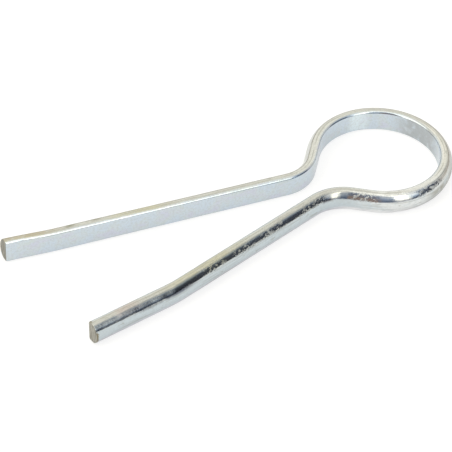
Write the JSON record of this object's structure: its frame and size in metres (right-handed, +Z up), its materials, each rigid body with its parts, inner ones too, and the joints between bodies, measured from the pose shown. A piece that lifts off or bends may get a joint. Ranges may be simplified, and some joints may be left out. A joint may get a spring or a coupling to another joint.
{
  "type": "r clip hitch pin",
  "caption": "Hitch clip bent from one D-shaped wire: a large round eye, reverse-bend necks and spread legs with their flat sides facing, the shorter leg bent inwards near its tip.",
  "frame": {"origin": "middle of the eye, half way up the wire", "axes": "+Z up, along the axis of the eye; +X from the cut ends towards the eye, parallel to the straight leg; +Y from the front leg towards the straight leg"},
  "size_m": [0.0982, 0.0456, 0.005],
  "materials": {
    "zinc": "spring steel wire, bright zinc plating with a clear blue passivation, faintly mottled"
  },
  "bodies": {
    "root": {"r_clip": "zinc"}
  },
  "joints": []
}
